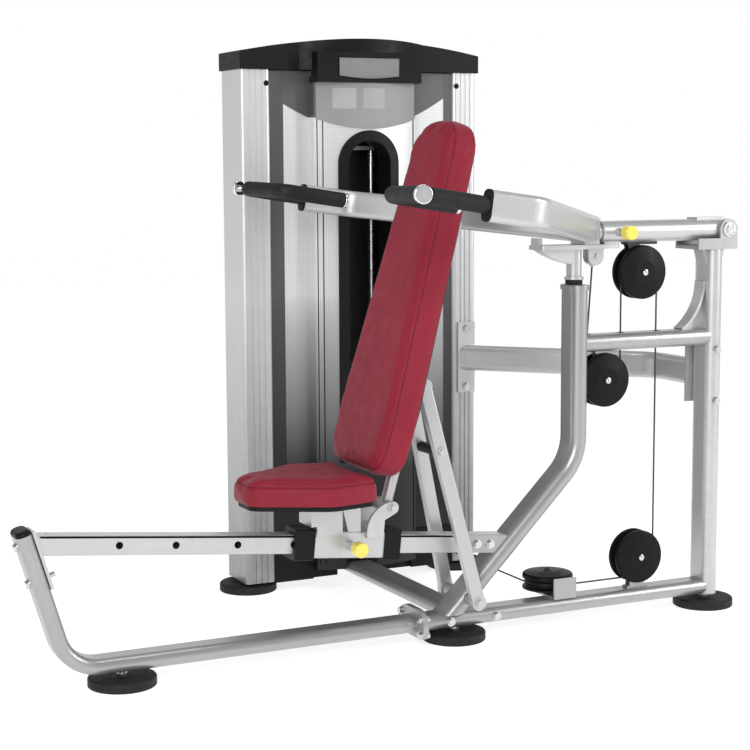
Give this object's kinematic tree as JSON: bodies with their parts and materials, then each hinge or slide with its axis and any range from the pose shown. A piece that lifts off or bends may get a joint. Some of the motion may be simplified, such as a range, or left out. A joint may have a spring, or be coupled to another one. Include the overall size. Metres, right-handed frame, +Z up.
{
  "type": "shoulder press machine",
  "caption": "Selectorised shoulder press with a sliding seat, reclining backrest, pivoting press arm and a weight stack in a shrouded tower.",
  "frame": {"origin": "on the floor under the middle foot disc, at its centre", "axes": "-X is the way the user faces, +Y points to the weight tower, +Z is up"},
  "size_m": [2.1359, 1.4375, 1.662],
  "materials": {
    "frame_silver": "silver-grey metallic powder coat",
    "light_silver": "lighter silver powder coat",
    "tower_silver": "silver metallic coat, fading dark at the foot",
    "tower_panel": "dark grey sheet printed with silver dots",
    "black_steel": "black powder-coated sheet",
    "black_iron": "black painted weight plates",
    "bright_steel": "plated steel",
    "chrome_cap": "polished chrome",
    "black_plastic": "black moulded plastic",
    "smoked_sign": "smoked sign panel",
    "black_rubber": "black rubber",
    "cable_black": "black coated steel cable",
    "red_leatherette": "crimson leatherette",
    "yellow_knob": "yellow knob"
  },
  "bodies": {
    "frame": {"front_base_tube": "frame_silver", "riser_end_cap": "black_plastic", "rear_base_tube": "frame_silver", "cross_tube": "frame_silver", "centre_post": "frame_silver", "rear_upright": "frame_silver", "mid_beam": "frame_silver", "pivot_bracket": "frame_silver", "pivot_shaft": "bright_steel", "tower_link": "frame_silver", "foot_discs": "black_rubber", "frame_bolts": "bright_steel", "seat_rail": "frame_silver", "rubber_bumpers": "black_rubber", "tower_columns": "tower_silver", "tower_frame": "frame_silver", "tower_cap": "black_plastic", "side_panels": "tower_panel", "sign_shield": "tower_silver", "slot_frame": "black_plastic", "sign_placard": "smoked_sign", "kick_panel": "black_plastic", "rear_shroud": "black_steel", "guide_rods": "bright_steel", "resting_plates": "black_iron", "pulley_guards": "black_plastic", "pulley_brackets": "frame_silver", "drive_cable": "cable_black"},
    "press_arm": {"press_beam": "light_silver", "rest_leg": "light_silver", "arm_lugs": "light_silver", "upper_pulley_guards": "black_plastic", "arm_cable": "cable_black"},
    "arm_yoke": {"yoke": "light_silver", "arm_end_caps": "black_plastic", "handle_tubes": "bright_steel", "hand_grips": "black_rubber", "handle_caps": "chrome_cap"},
    "arm_pin": {"arm_pin_knob": "yellow_knob", "arm_pin_plunger": "bright_steel"},
    "upper_wheel": {"upper_pulley_wheel": "black_plastic"},
    "mid_wheel": {"mid_pulley_wheel": "black_plastic"},
    "lower_wheel": {"lower_pulley_wheel": "black_plastic"},
    "floor_wheel": {"floor_pulley_wheel": "black_plastic"},
    "tower_low_pulley": {"tower_low_wheel": "black_plastic"},
    "tower_top_pulley": {"tower_top_wheel": "black_plastic"},
    "weight_stack": {"stack_head": "black_iron", "lifted_plates": "black_iron"},
    "selector": {"selector_pin": "yellow_knob"},
    "seat_carriage": {"carriage": "light_silver", "glide_collars": "black_plastic", "seat_board": "black_plastic", "seat_cushion": "red_leatherette"},
    "carriage_pin": {"carriage_pin_knob": "yellow_knob", "carriage_pin_plunger": "bright_steel"},
    "backrest": {"backrest_frame": "light_silver", "backrest_board": "black_plastic", "backrest_pad": "red_leatherette"},
    "recline_link": {"recline_struts": "light_silver", "strut_spacer": "black_plastic"}
  },
  "joints": [
    {"name": "arm_lift", "type": "hinge", "parent": "frame", "child": "press_arm", "pos_m": [0.862, 0, 1.104], "axis": [0, 1, 0], "range_deg": [0, 28], "deforming": ["arm_cable"]},
    {"name": "yoke_slide", "type": "slide", "parent": "press_arm", "child": "arm_yoke", "axis": [-1, 0, 0], "range_m": [0, 0.1]},
    {"name": "arm_pin_pull", "type": "slide", "parent": "press_arm", "child": "arm_pin", "axis": [0, -1, 0], "range_m": [0, 0.012], "stiffness_N_per_m": 400, "springref_m": -0.01},
    {"name": "upper_wheel_spin", "type": "hinge", "parent": "press_arm", "child": "upper_wheel", "pos_m": [0.593, 0, 0.988], "axis": [0, 1, 0], "range_deg": [-353.8, 0]},
    {"name": "mid_wheel_spin", "type": "hinge", "parent": "frame", "child": "mid_wheel", "pos_m": [0.473, 0, 0.689], "axis": [0, 1, 0], "range_deg": [0, 199.8]},
    {"name": "lower_wheel_spin", "type": "hinge", "parent": "frame", "child": "lower_wheel", "pos_m": [0.593, 0, 0.171], "axis": [0, 1, 0], "range_deg": [-451, 0]},
    {"name": "floor_wheel_spin", "type": "hinge", "parent": "frame", "child": "floor_wheel", "pos_m": [0.336, 0.06, 0.111], "axis": [0, 0, 1], "range_deg": [0, 451]},
    {"name": "tower_low_spin", "type": "hinge", "parent": "frame", "child": "tower_low_pulley", "pos_m": [0.276, 0.757, 0.144], "axis": [1, 0, 0], "range_deg": [-818.6, 0]},
    {"name": "tower_top_spin", "type": "hinge", "parent": "frame", "child": "tower_top_pulley", "pos_m": [0.1685, 0.79, 1.463], "axis": [0, 1, 0], "range_deg": [0, 252.2]},
    {"name": "stack_lift", "type": "slide", "parent": "frame", "child": "weight_stack", "axis": [0, 0, 1], "range_m": [0, 0.475], "deforming": ["drive_cable"]},
    {"name": "selector_pull", "type": "slide", "parent": "weight_stack", "child": "selector", "axis": [0, -1, 0], "range_m": [0, 0.1]},
    {"name": "seat_slide", "type": "slide", "parent": "frame", "child": "seat_carriage", "axis": [-0.9954, 0, 0.0958], "range_m": [0, 0.3114]},
    {"name": "seat_pin_pull", "type": "slide", "parent": "seat_carriage", "child": "carriage_pin", "axis": [0, -1, 0], "range_m": [0, 0.012], "stiffness_N_per_m": 400, "springref_m": -0.01},
    {"name": "backrest_tilt", "type": "hinge", "parent": "seat_carriage", "child": "backrest", "pos_m": [-0.208, 0, 0.391], "axis": [0, 1, 0], "range_deg": [0, 31.2]},
    {"name": "strut_swing", "type": "hinge", "parent": "frame", "child": "recline_link", "pos_m": [0.024, 0, 0.119], "axis": [0, 1, 0], "range_deg": [-16.5, 0]}
  ],
  "couplings": [
    {"joint": "upper_wheel_spin", "follows": "arm_lift", "ratio": -12.6},
    {"joint": "mid_wheel_spin", "follows": "arm_lift", "ratio": 7.1},
    {"joint": "lower_wheel_spin", "follows": "arm_lift", "ratio": -16.07},
    {"joint": "floor_wheel_spin", "follows": "arm_lift", "ratio": 16.07},
    {"joint": "tower_low_spin", "follows": "arm_lift", "ratio": -29.2},
    {"joint": "tower_top_spin", "follows": "arm_lift", "ratio": 8.97},
    {"joint": "stack_lift", "follows": "arm_lift", "m_per_rad": 0.964},
    {"joint": "backrest_tilt", "follows": "seat_slide", "rad_per_m": 1.7332},
    {"joint": "strut_swing", "follows": "seat_slide", "rad_per_m": -0.9064}
  ]
}
